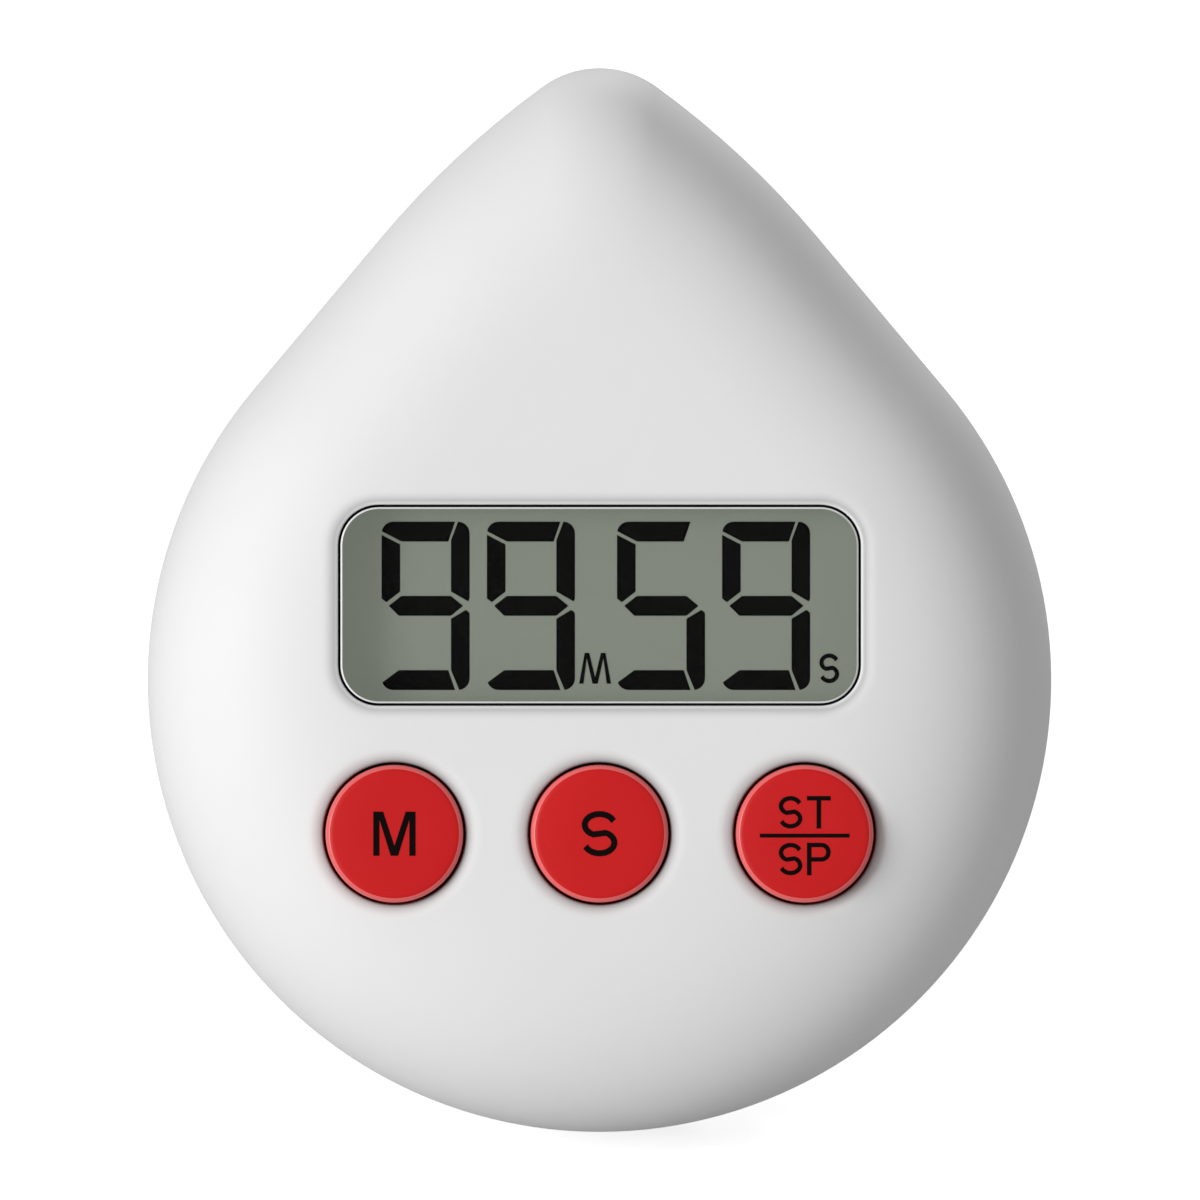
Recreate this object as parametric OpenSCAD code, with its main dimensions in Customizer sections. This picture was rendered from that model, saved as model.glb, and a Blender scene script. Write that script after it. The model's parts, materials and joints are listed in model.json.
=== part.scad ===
// Drop-shaped digital kitchen timer: two-piece housing, display stack, three push buttons,
// circuit board, buzzer, cell with hinged door, holding magnets and a fold-out stand.
// Every part is drawn in the face frame: x to the right, y into the timer from the front
// face, z up along the face. place() then leans the timer back on its stand.

/* [Housing] */
// Width of the drop, twice the radius of its round lower part
face_width = 70; // [66:1:76]
// Height of the drop from its lowest point to its tip
face_height = 82.4; // [81:0.2:84]
// Radius of the rounded tip
tip_radius = 7.5; // [7:0.5:8]
// Depth from the front face to the back plane
depth = 25; // [25:0.5:27]
// Wall thickness of both housings
wall = 2; // [1.8:0.1:2.2]

/* [Stance] */
// Angle by which the timer leans back on its stand
lean = 25; // [22:1:28]
// Angle between the stand and the back when it is open
stand_open = 40; // [36:1:42]
// Width of the stand
stand_width = 22; // [18:1:24]

/* [Display] */
// Width of the display window
window_width = 40; // [38:0.5:41]
// Height of the display window
window_height = 15.2; // [14.5:0.1:16]
// Height of the window's centre above the lowest point of the drop
window_z = 40.8; // [40.5:0.1:41]
// Height of one large digit
digit_height = 13; // [12:0.1:13.2]

/* [Buttons] */
// Radius of a button
button_radius = 5.3; // [5:0.1:5.6]
// Distance between neighbouring button centres
button_pitch = 15.8; // [15:0.1:16]
// Height of the button centres above the lowest point of the drop
button_z = 23.2; // [23:0.1:23.4]
// How far a button moves when it is pressed
button_travel = 0.8; // [0.6:0.1:0.8]

/* [Power] */
// Diameter of the cell with its sleeve
cell_diameter = 10.5; // [10:0.1:10.5]
// Length of the cell with its positive tip
cell_length = 44.5; // [44:0.1:44.5]
// Height of the cell's axis above the lowest point of the drop
cell_z = 43.5; // [43.3:0.1:43.7]

/* [Hidden] */
$fn = 48;

// ---- drop outline ----
round_radius = face_width / 2;
// Normal angles where the tip meets the shoulder and the shoulder meets the round part
tip_angle = 36;
shoulder_angle = 50;
tip_steps = 7;
shoulder_steps = 3;
round_steps = 28;
// The shoulder's radius that makes its flat run on tangent to the round part
shoulder_radius = (round_radius - sin(shoulder_angle) * tip_radius * sin(tip_angle)
  - cos(shoulder_angle) * (face_height - round_radius - tip_radius * (1 - cos(tip_angle))))
  / (sin(shoulder_angle) * (sin(shoulder_angle) - sin(tip_angle))
  - cos(shoulder_angle) * (cos(tip_angle) - cos(shoulder_angle)));
outline_angles = concat(
  [for (i = [0:tip_steps]) tip_angle * i / tip_steps],
  [for (i = [1:shoulder_steps]) tip_angle + (shoulder_angle - tip_angle) * i / shoulder_steps],
  [for (i = [0:round_steps]) shoulder_angle + 0.01 + (179.99 - shoulder_angle) * i / round_steps]
);

// Point of the right half of the outline whose outward normal is at angle a from +z
function outline_point(a) =
  a <= tip_angle
    ? [tip_radius * sin(a), face_height - tip_radius * (1 - cos(a))]
    : a <= shoulder_angle
      ? [tip_radius * sin(tip_angle) + shoulder_radius * (sin(a) - sin(tip_angle)),
         face_height - tip_radius * (1 - cos(tip_angle)) - shoulder_radius * (cos(tip_angle) - cos(a))]
      : [round_radius * sin(a), round_radius * (1 + cos(a))];

// The whole outline, moved inwards by inset, clockwise from the tip as seen from the front
function outline(inset) =
  let (
    right = [for (a = outline_angles) outline_point(a) - inset * [sin(a), cos(a)]],
    last = len(right) - 1
  )
  concat(right, [for (i = [last - 1:-1:1]) [-right[i][0], right[i][1]]]);

// ---- domed front ----
part_y = 14;
dome_levels = 12;
dome_power = 3.4;
dome_root = 2.2;
// Size of the flat centre against the outline, and how much higher its centre lies
flat_scale = 13 / 35;
flat_rise = 7;

// Depth of the dome, 0 at its flat centre to 1 at its rim, for u from 0 to 1
function dome_profile(u) = 1 - pow(max(0, 1 - pow(u, dome_power)), 1 / dome_root);

// One ring of the dome, a scaled copy of the outline, as 3-D points
function dome_ring(u, inset, dome_depth) =
  let (
    grow = 1 - (1 - u) * (1 - flat_scale),
    y = part_y - dome_depth + dome_depth * dome_profile(u)
  )
  [for (p = outline(inset))
    [p[0] * grow, y, round_radius + flat_rise * (1 - u) + (p[1] - round_radius) * grow]];

// Closed solid through rings of equal length, given from the back ring to the front ring
module ring_solid(rings) {
  n = len(rings[0]);
  last = (len(rings) - 1) * n;
  polyhedron(
    points = [for (r = rings) for (p = r) p],
    faces = concat(
      [[for (i = [n - 1:-1:0]) i]],
      [[for (i = [0:n - 1]) last + i]],
      [for (k = [0:len(rings) - 2]) for (i = [0:n - 1])
        [k * n + i, k * n + (i + 1) % n, (k + 1) * n + i]],
      [for (k = [0:len(rings) - 2]) for (i = [0:n - 1])
        [k * n + (i + 1) % n, (k + 1) * n + (i + 1) % n, (k + 1) * n + i]]
    )
  );
}

// The front half of the drop, its surface moved inwards by inset, reaching back to back_y
module dome(inset, back_y) {
  rim = [for (p = outline(inset)) [p[0], back_y, p[1]]];
  rings = [for (k = [dome_levels:-1:0]) dome_ring(sin(90 * k / dome_levels), inset, part_y - inset)];
  ring_solid(concat(back_y > part_y ? [rim] : [], rings));
}

// ---- back housing ----
draft = 0.3;
back_round = 2.5;
round_levels = 4;

// The back half of the drop: a drafted wall, then a rounded edge to the back plane
module back_form() {
  round_y = depth - back_round;
  levels = [for (k = [round_levels:-1:0]) 90 * k / round_levels];
  ring_solid(concat(
    [for (a = levels) [for (p = outline(draft + back_round * (1 - cos(a))))
      [p[0], round_y + back_round * sin(a), p[1]]]],
    [[for (p = outline(0)) [p[0], part_y, p[1]]]]
  ));
}

// ---- stance ----
// Height and distance behind the front face's foot of a point of the face frame, once leaned
function lean_z(y, z) = z * cos(lean) - y * sin(lean);
function lean_y(y, z) = y * cos(lean) + z * sin(lean);
// The lower back edge is trimmed flat where it rests
edge_trim = 0.6;
floor_z = lean_z(depth - back_round, draft + back_round) - back_round + edge_trim;
front_reach = min([for (k = [0:dome_levels]) let (p = dome_ring(sin(90 * k / dome_levels), 0, part_y)[
  tip_steps + shoulder_steps + round_steps + 1]) lean_y(p[1], p[2])]);
back_reach = lean_y(depth - back_round, face_height - draft - back_round) + back_round;

module place() {
  translate([0, -(front_reach + back_reach) / 2, -floor_z])
    rotate([-lean, 0, 0])
      children();
}

// Everything below the table top, in the face frame
module below_table() {
  span = 200;
  rotate([lean, 0, 0])
    translate([-span / 2, -span / 2, floor_z - span])
      cube(span);
}

// ---- small helpers ----
cut = 1;

// Straight bar of a flat shape in x and z, from depth y0 to depth y1
module bar(y0, y1) {
  translate([0, y1, 0]) rotate([90, 0, 0]) linear_extrude(y1 - y0) children();
}

module rod_y(x, z, r, y0, y1) {
  translate([x, y1, z]) rotate([90, 0, 0]) cylinder(r = r, h = y1 - y0);
}

module rod_x(y, z, r, x0, x1) {
  translate([x0, y, z]) rotate([0, 90, 0]) cylinder(r = r, h = x1 - x0);
}

module block(x0, x1, y0, y1, z0, z1) {
  translate([x0, y0, z0]) cube([x1 - x0, y1 - y0, z1 - z0]);
}

// Flat shape in depth and height, carried across from x0 to x1
module across(x0, x1) {
  translate([x0, 0, 0]) rotate([90, 0, 90]) linear_extrude(x1 - x0) children();
}

// Rectangle centred on x = 0 with rounded corners
module rounded_window(w, h, r, z) {
  translate([0, z]) hull()
    for (sx = [-1, 1], sz = [-1, 1]) translate([sx * (w / 2 - r), sz * (h / 2 - r)]) circle(r);
}

function mix(a, b, t) = a + (b - a) * t;

// ---- places shared by several parts ----
button_x = [-button_pitch, 0, button_pitch];
button_gap = 0.2;
button_face = -0.35;
flange_y = 3.7;
flange_depth = 0.8;
flange_radius = button_radius + 0.9;
button_seat_radius = button_radius + 1.5;
stem_radius = 2.2;
stem_y = 5;
dome_top = 0.5;
pill_y = stem_y + dome_top + 0.05;
pill_depth = 0.75;

window_corner = 3;
window_gap = 0.15;
seat_y = 2.6;
tape_depth = 0.1;
lens_face = 0.45;
lens_flange = 0.8;
lens_margin_x = 2;
lens_margin_z = 2;
seat_gap = 0.2;

glass_half = 21.6;
glass_top = window_z + 9.4;
glass_bottom = window_z - 11.4;
rear_glass_bottom = window_z - 8.9;
polariser_inset = 0.5;
polariser_depth = 0.2;
glass_depth = 0.7;
crystal_gap = 0.1;
lcd_y = seat_y + tape_depth + lens_flange + 0.1;
front_glass_y = lcd_y + polariser_depth;
rear_glass_y = front_glass_y + glass_depth + crystal_gap;
rear_polariser_y = rear_glass_y + glass_depth;

board_y = 7.2;
board_depth = 1.2;
board_back = board_y + board_depth;
board_radius = 29.5;
board_bottom = 16.5;
board_top = 56.5;
board_screw_places = [[-25.2, 24.6], [25.2, 24.6], [0, 54.3]];
board_boss_radius = 2.1;
screw_hole_radius = 0.8;

holder_half = glass_half + 1.4;
holder_top = glass_top + 1.1;
holder_bottom = glass_bottom - 1.2;
holder_y = 4.05;
shelf_y = rear_polariser_y + polariser_depth + 0.1;
zebra_z = glass_bottom + 0.5;
zebra_height = 1.6;
peg_radius = 0.6;
peg_places = [for (sx = [-1, 1], z = [glass_bottom + 0.5, glass_top - 0.5]) [sx * (holder_half - 0.7), z]];

housing_screw_places = [[0, 75.5], [-18.6, 12.8], [18.6, 12.8]];
housing_boss_radius = 2.6;

cell_y = depth - 1.6 - 0.4 - cell_diameter / 2;
bay_half = 25.4;
bay_half_height = 5.9;
bay_wall = 1.2;
bay_floor = cell_y - cell_diameter / 2 - 0.2;
cell_start = -21.6;
tip_length = 1.2;

door_depth = 1.6;
door_hinge = [depth - 1.4, 50.2];
door_barrel_radius = 1.4;
door_barrel_half = 21.8;
door_pin_radius = 0.75;
door_pin_end = 23.6;
door_gap = 0.3;

stand_hinge = [depth - 1.6, 33];
stand_thickness = 2;
stand_barrel_radius = 1.5;
stand_pin_radius = 1;
stand_pin_length = 2.2;
stand_heel = 2.4;
stand_gap = 0.3;
hinge_clearance = 0.05;
// Distance from the stand's axis to the centre of its rounded foot
foot_sink = 0.2;
stand_length = (lean_z(stand_hinge[0], stand_hinge[1]) - floor_z - (stand_thickness / 2 - foot_sink))
  / cos(stand_open - lean);

magnet_radius = 5;
magnet_depth = 2.5;
magnet_place = [21.5, 20];
magnet_gap = 0.1;

buzzer_z = 62.5;
buzzer_radius = 8;
buzzer_y = 20.2;
buzzer_depth = 0.25;

// ---- front housing ----
module button_places() {
  for (x = button_x) translate([x, 0, button_z]) children();
}

module front_housing() {
  color([0.93, 0.93, 0.93]) difference() {
    union() {
      difference() {
        dome(0, part_y);
        dome(wall, part_y + cut);
      }
      intersection() {
        dome(wall / 2, part_y);
        front_features();
      }
    }
    bar(-cut, part_y) rounded_window(window_width + 2 * window_gap, window_height + 2 * window_gap,
      window_corner + window_gap, window_z);
    bar(seat_y, part_y) rounded_window(window_width + 2 * (lens_margin_x + seat_gap),
      window_height + 2 * (lens_margin_z + seat_gap), 1, window_z);
    for (x = button_x) rod_y(x, button_z, button_radius + button_gap, -cut, part_y);
    for (x = button_x) rod_y(x, button_z, flange_radius + seat_gap, flange_y - 0.1, part_y);
    for (p = board_screw_places) rod_y(p[0], p[1], screw_hole_radius, 4.2, part_y);
    for (p = housing_screw_places) rod_y(p[0], p[1], screw_hole_radius, 6.5, part_y + cut);
  }
}

// Seats, screw bosses and pads, before they are clipped to the dome
module front_features() {
  bar(0, seat_y) rounded_window(window_width + 2 * lens_margin_x + 3,
    window_height + 2 * lens_margin_z + 3, 2, window_z);
  for (x = button_x) rod_y(x, button_z, button_seat_radius, 0, flange_y);
  for (p = board_screw_places) rod_y(p[0], p[1], board_boss_radius, 0, board_y);
  for (p = housing_screw_places) rod_y(p[0], p[1], housing_boss_radius, 0, part_y);
}

// ---- back housing ----
lip_inset = wall + 0.2;
lip_depth = 1.2;
lip_thickness = 0.9;
recess_half = stand_width / 2 + stand_gap;
recess_y = stand_hinge[0] - stand_thickness / 2 - 0.2;
hinge_block_half = recess_half + stand_pin_length + 1.2;

module back_housing() {
  color([0.92, 0.92, 0.92]) difference() {
    union() {
      difference() {
        back_form();
        bar(part_y - cut, depth - wall) polygon(outline(wall + draft));
      }
      lip();
      back_features();
    }
    battery_bay();
    stand_recess();
    magnet_pockets();
    housing_screw_holes();
    sound_holes();
    below_table();
  }
}

// Thin tongue that locates the back housing inside the front housing
module lip() {
  bar(part_y - lip_depth, part_y + 3) difference() {
    polygon(outline(lip_inset));
    polygon(outline(lip_inset + lip_thickness));
    for (p = housing_screw_places) translate(p) circle(housing_boss_radius + 0.15);
  }
}

module back_features() {
  inner_end = depth - wall + 0.5;
  for (p = housing_screw_places) rod_y(p[0], p[1], housing_boss_radius, part_y, inner_end);
  block(-bay_half - bay_wall, bay_half + bay_wall, bay_floor - bay_wall, inner_end,
    cell_z - bay_half_height - bay_wall, cell_z + bay_half_height + bay_wall - 0.5);
  block(-bay_half, bay_half, door_hinge[0] - door_barrel_radius - 1.8, inner_end,
    cell_z + bay_half_height - 0.5, door_hinge[1] + door_barrel_radius + 2);
  block(-hinge_block_half, hinge_block_half, stand_hinge[0] - stand_heel - 2.2, inner_end,
    stand_hinge[1] - 4, cell_z - bay_half_height);
  // The floor and sides of the stand's recess, kept within the housing's outer wall
  bar(recess_y - 1.6, inner_end) intersection() {
    polygon(outline(wall / 2));
    translate([-hinge_block_half, 0]) square([2 * hinge_block_half, stand_hinge[1]]);
  }
  for (sx = [-1, 1])
    rod_y(sx * magnet_place[0], magnet_place[1], magnet_radius + 1.4, depth - magnet_depth - 1.6, inner_end);
  difference() {
    rod_y(0, buzzer_z, buzzer_radius + 0.4, buzzer_y + buzzer_depth, inner_end);
    rod_y(0, buzzer_z, buzzer_radius - 0.8, buzzer_y, depth - wall);
  }
}

// Space for the cell, the opening for its door and the bores for the door's pins
module battery_bay() {
  low = cell_z - bay_half_height;
  high = cell_z + bay_half_height - 0.5;
  relief = door_barrel_radius + 0.2;
  barrel_end = door_barrel_half + door_gap;
  block(-bay_half, bay_half, bay_floor, depth + cut, low, high);
  across(-barrel_end, barrel_end) {
    translate(door_hinge) circle(relief);
    translate([door_hinge[0] - 0.3, high - 1]) square([relief + cut, door_hinge[1] + relief + 0.1 - high + 1]);
  }
  rod_x(door_hinge[0], door_hinge[1], door_pin_radius + hinge_clearance,
    -door_pin_end - door_gap, door_pin_end + door_gap);
  for (x = [-23.2, 23.2]) block(x - 1.2, x + 1.2, bay_floor - bay_wall - cut, bay_floor + cut,
    cell_z - 1.2, cell_z + 1.2);
  // Thumb notch at the door's lower edge
  rod_y(0, low - 0.2, 3, depth - 0.9, depth + cut);
}

// Shallow recess for the folded stand, the bores for its pins and the pocket for its heel
module stand_recess() {
  pocket = stand_heel + 0.25;
  bore_end = recess_half + stand_pin_length + stand_gap;
  across(-recess_half, recess_half) {
    translate([recess_y, -cut]) square([depth + cut - recess_y, stand_hinge[1] + pocket + cut]);
    translate(stand_hinge) circle(stand_barrel_radius + 0.2);
    // The stand's heel stops against the flat side of this pocket
    intersection() {
      translate(stand_hinge) circle(pocket + 0.1);
      translate(stand_hinge) rotate(stand_open)
        translate([-stand_thickness / 2 - hinge_clearance, -0.2]) square(2 * pocket);
    }
  }
  rod_x(stand_hinge[0], stand_hinge[1], stand_pin_radius + hinge_clearance, -bore_end, bore_end);
}

module magnet_pockets() {
  for (sx = [-1, 1]) rod_y(sx * magnet_place[0], magnet_place[1], magnet_radius + magnet_gap / 2,
    depth - magnet_depth - magnet_gap, depth + cut);
}

module housing_screw_holes() {
  for (p = housing_screw_places) {
    rod_y(p[0], p[1], 1.1, part_y - cut, depth);
    rod_y(p[0], p[1], 2, depth - 3, depth + cut);
  }
}

module sound_holes() {
  rod_y(0, buzzer_z, 0.8, depth - wall - cut, depth + cut);
  for (a = [0:60:300])
    rod_y(3.6 * cos(a), buzzer_z + 3.6 * sin(a), 0.8, depth - wall - cut, depth + cut);
}

// ---- display stack ----
module display_window() {
  color([0.8, 0.85, 0.82, 0.4]) {
    bar(lens_face, seat_y + tape_depth)
      rounded_window(window_width - 0.1, window_height - 0.1, window_corner, window_z);
    bar(seat_y + tape_depth, seat_y + tape_depth + lens_flange)
      rounded_window(window_width + 2 * lens_margin_x, window_height + 2 * lens_margin_z, 1, window_z);
  }
}

module window_tape() {
  color([0.15, 0.15, 0.16]) bar(seat_y, seat_y + tape_depth) difference() {
    rounded_window(window_width + 2 * lens_margin_x, window_height + 2 * lens_margin_z, 1, window_z);
    rounded_window(window_width + 0.6, window_height + 0.6, window_corner, window_z);
  }
}

module lcd_front_polariser() {
  color([0.5, 0.53, 0.49, 0.6]) block(-glass_half + polariser_inset, glass_half - polariser_inset,
    lcd_y, front_glass_y, rear_glass_bottom + polariser_inset, glass_top - polariser_inset);
}

module lcd_front_glass() {
  color([0.7, 0.75, 0.72, 0.5]) block(-glass_half, glass_half,
    front_glass_y, front_glass_y + glass_depth, glass_bottom, glass_top);
}

module lcd_rear_glass() {
  color([0.7, 0.75, 0.72, 0.5]) block(-glass_half, glass_half,
    rear_glass_y, rear_polariser_y, rear_glass_bottom, glass_top);
}

module lcd_rear_polariser() {
  color([0.51, 0.53, 0.49]) block(-glass_half + polariser_inset, glass_half - polariser_inset,
    rear_polariser_y, rear_polariser_y + polariser_depth,
    rear_glass_bottom + polariser_inset, glass_top - polariser_inset);
}

// ---- display segments ----
digit_width = 6.8;
digit_pitch = 8.12;
pair_gap = 1.92;
stroke = 1.42;
stroke_gap = 0.16;
digit_bottom = window_z - digit_height / 2;
digit_left = -16.8;
segment_film = 0.06;
// Segments a to g of the digits 9 and 5: top, upper right, lower right, bottom, lower left, upper left, middle
nine = [true, true, true, true, false, true, true];
five = [true, false, true, true, false, true, true];
digits = [nine, nine, five, nine];

// Bar from a to b with ends cut at 45 degrees, lying to the right of the way from a to b
module segment_bar(a, b) {
  along = (b - a) / norm(b - a);
  across = [along[1], -along[0]] * stroke;
  near = along * stroke_gap;
  far = along * (stroke_gap + stroke);
  polygon([a + near, b - near, b - far + across, a + far + across]);
}

// Bar from a to b, pointed at both ends
module middle_bar(a, b) {
  along = (b - a) / norm(b - a);
  half = [0, stroke / 2];
  tip = along * 2 * stroke_gap;
  far = tip + along * stroke / 2;
  polygon([a + tip, a + far + half, b - far + half, b - tip, b - far - half, a + far - half]);
}

module digit(on) {
  w = digit_width;
  h = digit_height;
  mid = h / 2;
  if (on[0]) segment_bar([0, h], [w, h]);
  if (on[1]) segment_bar([w, h], [w, mid]);
  if (on[2]) segment_bar([w, mid], [w, 0]);
  if (on[3]) segment_bar([w, 0], [0, 0]);
  if (on[4]) segment_bar([0, 0], [0, mid]);
  if (on[5]) segment_bar([0, mid], [0, h]);
  if (on[6]) middle_bar([0, mid], [w, mid]);
}

module lcd_segments() {
  color([0.03, 0.03, 0.03])
    bar(rear_glass_y - crystal_gap / 2 - segment_film / 2, rear_glass_y - crystal_gap / 2 + segment_film / 2)
      for (k = [0:3])
        translate([digit_left + k * digit_pitch + (k > 1 ? pair_gap : 0), digit_bottom]) digit(digits[k]);
}

module lcd_holder() {
  shelf = 1.6;
  color([0.2, 0.2, 0.21]) {
    difference() {
      block(-holder_half, holder_half, holder_y, board_y, holder_bottom, holder_top);
      block(-glass_half - 0.1, glass_half + 0.1, holder_y - cut, shelf_y, glass_bottom - 0.1, glass_top + 0.1);
      block(-glass_half + shelf, glass_half - shelf, shelf_y - cut, board_y + cut,
        rear_glass_bottom + shelf, glass_top - shelf);
      block(-glass_half + 0.4, glass_half - 0.4, shelf_y - cut, board_y + cut,
        glass_bottom + 0.3, zebra_z + zebra_height + 0.2);
    }
    for (p = peg_places) rod_y(p[0], p[1], peg_radius, board_y - 0.5, board_back + 0.4);
  }
}

module zebra_strip() {
  color([0.86, 0.55, 0.6]) block(-glass_half + 0.8, glass_half - 0.8,
    front_glass_y + glass_depth, board_y, zebra_z, zebra_z + zebra_height);
}

// ---- circuit board ----
module circuit_board() {
  color([0.1, 0.42, 0.2]) difference() {
    bar(board_y, board_back) intersection() {
      translate([0, round_radius]) circle(board_radius, $fn = 96);
      translate([-board_radius, board_bottom]) square([2 * board_radius, board_top - board_bottom]);
    }
    for (p = board_screw_places) rod_y(p[0], p[1], 1.1, board_y - cut, board_back + cut);
    for (p = peg_places) rod_y(p[0], p[1], peg_radius + 0.1, board_y - cut, board_back + cut);
  }
}

// Two interleaved combs under each button
module contact_pads() {
  pad_radius = 2.2;
  finger = 0.35;
  pad_film = 0.04;
  color([0.8, 0.65, 0.3]) for (x = button_x) bar(board_y - pad_film, board_y) translate([x, button_z])
    difference() {
      circle(pad_radius);
      for (k = [-2:2]) translate([k * 2 * finger - finger / 2 + 0.05, k % 2 == 0 ? -pad_radius : -pad_radius + 0.6])
        square([0.2, 2 * pad_radius - 0.6]);
    }
}

module chip_blob() {
  blob_radius = 4.5;
  blob_height = 1.4;
  color([0.06, 0.06, 0.07]) translate([-8, board_back, 27]) rotate([-90, 0, 0]) rotate_extrude()
    polygon(concat([[0, 0]], [for (a = [0:15:75]) [blob_radius * cos(a), blob_height * sin(a)]],
      [[0, blob_height]]));
}

module crystal() {
  can_radius = 1;
  color([0.75, 0.76, 0.78]) {
    rod_x(board_back + can_radius + 0.1, 31, can_radius, 4, 10);
    for (dz = [-0.35, 0.35]) rod_x(board_back + 0.4, 31 + dz, 0.15, 2.6, 4.4);
  }
}

module capacitors() {
  color([0.62, 0.5, 0.36]) for (p = [[3, 26], [3, 23], [-16, 24]])
    block(p[0], p[0] + 2, board_back, board_back + 1, p[1], p[1] + 1.2);
}

module resistors() {
  color([0.1, 0.1, 0.1]) for (k = [0:3])
    block(8 + 2.4 * k, 9.2 + 2.4 * k, board_back, board_back + 0.5, 23, 25);
}

module board_screws() {
  color([0.7, 0.7, 0.72]) for (p = board_screw_places) difference() {
    union() {
      rod_y(p[0], p[1], 0.75, 4.6, board_back);
      rod_y(p[0], p[1], 1.7, board_back, board_back + 1.2);
    }
    cross_recess(p, board_back + 1.2, 2.2, 0.5);
  }
}

// Cross cut into a screw head whose top is at depth y
module cross_recess(p, y, span, width) {
  block(p[0] - span / 2, p[0] + span / 2, y - 0.7, y + cut, p[1] - width / 2, p[1] + width / 2);
  block(p[0] - width / 2, p[0] + width / 2, y - 0.7, y + cut, p[1] - span / 2, p[1] + span / 2);
}

// ---- keypad ----
// Silicone sheet with a collapsible dome under each button
module keypad_membrane() {
  sheet_y = board_y - 0.75;
  sheet_half = 22.4;
  sheet_low = button_z - 5.6;
  sheet_high = holder_bottom - 0.4;
  color([0.88, 0.88, 0.86]) {
    difference() {
      block(-sheet_half, sheet_half, sheet_y, board_y - 0.05, sheet_low, sheet_high);
      for (x = button_x) rod_y(x, button_z, 3.4, sheet_y - cut, board_y + cut);
    }
    button_places() rotate([-90, 0, 0]) rotate_extrude() polygon([
      [0, stem_y], [2.4, stem_y], [2.9, sheet_y - 0.35], [4.2, sheet_y], [4.2, sheet_y + 0.3],
      [3.3, sheet_y + 0.3], [2.3, sheet_y - 0.2], [1.9, stem_y + dome_top], [0, stem_y + dome_top]]);
  }
}

module carbon_pill(x) {
  color([0.08, 0.08, 0.08]) rod_y(x, button_z, 1.5, pill_y, pill_y + pill_depth);
}

module carbon_pill_minutes() { carbon_pill(button_x[0]); }
module carbon_pill_seconds() { carbon_pill(button_x[1]); }
module carbon_pill_start() { carbon_pill(button_x[2]); }

// Flat cap with a bevelled rim and a stem. The flange that keeps it in the housing has a flat
// side, which clears the display and stops it from turning.
module button(x) {
  bevel = 0.35;
  flange_back = flange_y + flange_depth;
  color([0.78, 0.15, 0.16]) difference() {
    translate([x, 0, button_z]) rotate([-90, 0, 0]) rotate_extrude($fn = 64) polygon([
      [0, button_face], [button_radius - bevel, button_face], [button_radius, button_face + bevel],
      [button_radius, flange_y], [flange_radius, flange_y], [flange_radius, flange_back],
      [stem_radius, flange_back], [stem_radius, stem_y], [0, stem_y]]);
    block(x - flange_radius - cut, x + flange_radius + cut, holder_y - button_travel - 0.3, flange_back + cut,
      holder_bottom - 0.3, holder_bottom + flange_radius);
  }
}

module button_minutes() { button(button_x[0]); }
module button_seconds() { button(button_x[1]); }
module button_start() { button(button_x[2]); }

// ---- buzzer ----
module buzzer_disc() {
  color([0.8, 0.65, 0.3]) rod_y(0, buzzer_z, buzzer_radius, buzzer_y, buzzer_y + buzzer_depth);
}

module buzzer_ceramic() {
  color([0.9, 0.9, 0.86]) rod_y(0, buzzer_z, buzzer_radius * 0.72, buzzer_y - buzzer_depth, buzzer_y);
}

// Round wire swept along a list of points, cut square across x at its first and last ring
module wire(route, r) {
  sides = 8;
  last = len(route) - 1;
  tangents = [for (i = [0:last]) let (d = route[min(i + 1, last)] - route[max(i - 1, 0)]) d / norm(d)];
  side = [for (t = tangents) let (s = cross(t, abs(t[0]) < 0.9 ? [1, 0, 0] : [0, 0, 1])) s / norm(s)];
  polyhedron(
    points = [for (i = [0:last]) for (k = [0:sides - 1])
      route[i] + r * (cos(360 * k / sides) * side[i] + sin(360 * k / sides) * cross(tangents[i], side[i]))],
    faces = concat(
      [[for (k = [0:sides - 1]) k]],
      [[for (k = [sides - 1:-1:0]) last * sides + k]],
      [for (i = [0:last - 1]) for (k = [0:sides - 1]) let (n = (k + 1) % sides)
        [i * sides + n, i * sides + k, (i + 1) * sides + k]],
      [for (i = [0:last - 1]) for (k = [0:sides - 1]) let (n = (k + 1) % sides)
        [(i + 1) * sides + n, i * sides + n, (i + 1) * sides + k]]
    )
  );
}

// Smooth curve through a, with handles b and c, to d
function bezier(a, b, c, d, steps = 8) = [for (i = [0:steps]) let (t = i / steps, s = 1 - t)
  s * s * s * a + 3 * s * s * t * b + 3 * s * t * t * c + t * t * t * d];

wire_radius = 0.4;
// Gap at each end of a wire that its solder joint fills
solder_gap = 0.2;
module buzzer_wires() {
  color([0.75, 0.1, 0.1])
    wire(bezier([2, buzzer_y - buzzer_depth - solder_gap, 61], [2, 16, 61], [5, 12, 55.2],
      [5, board_back + solder_gap, 55.2]), wire_radius);
  color([0.1, 0.1, 0.1])
    wire(bezier([-6.8, buzzer_y - solder_gap, 61], [-6.8, 16, 61], [-6, 12, 55.2],
      [-6, board_back + solder_gap, 55.2]), wire_radius);
}

// ---- power ----
can_radius = cell_diameter / 2 - 0.1;

module battery_cell() {
  can_end = cell_start + cell_length - tip_length;
  color([0.78, 0.78, 0.8]) {
    rod_x(cell_y, cell_z, can_radius, cell_start, can_end);
    rod_x(cell_y, cell_z, 1.9, can_end, cell_start + cell_length);
  }
}

module battery_sleeve() {
  color([0.12, 0.35, 0.22]) difference() {
    rod_x(cell_y, cell_z, cell_diameter / 2, cell_start + 0.6, cell_start + cell_length - tip_length - 0.6);
    rod_x(cell_y, cell_z, can_radius, cell_start, cell_start + cell_length);
  }
}

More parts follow.
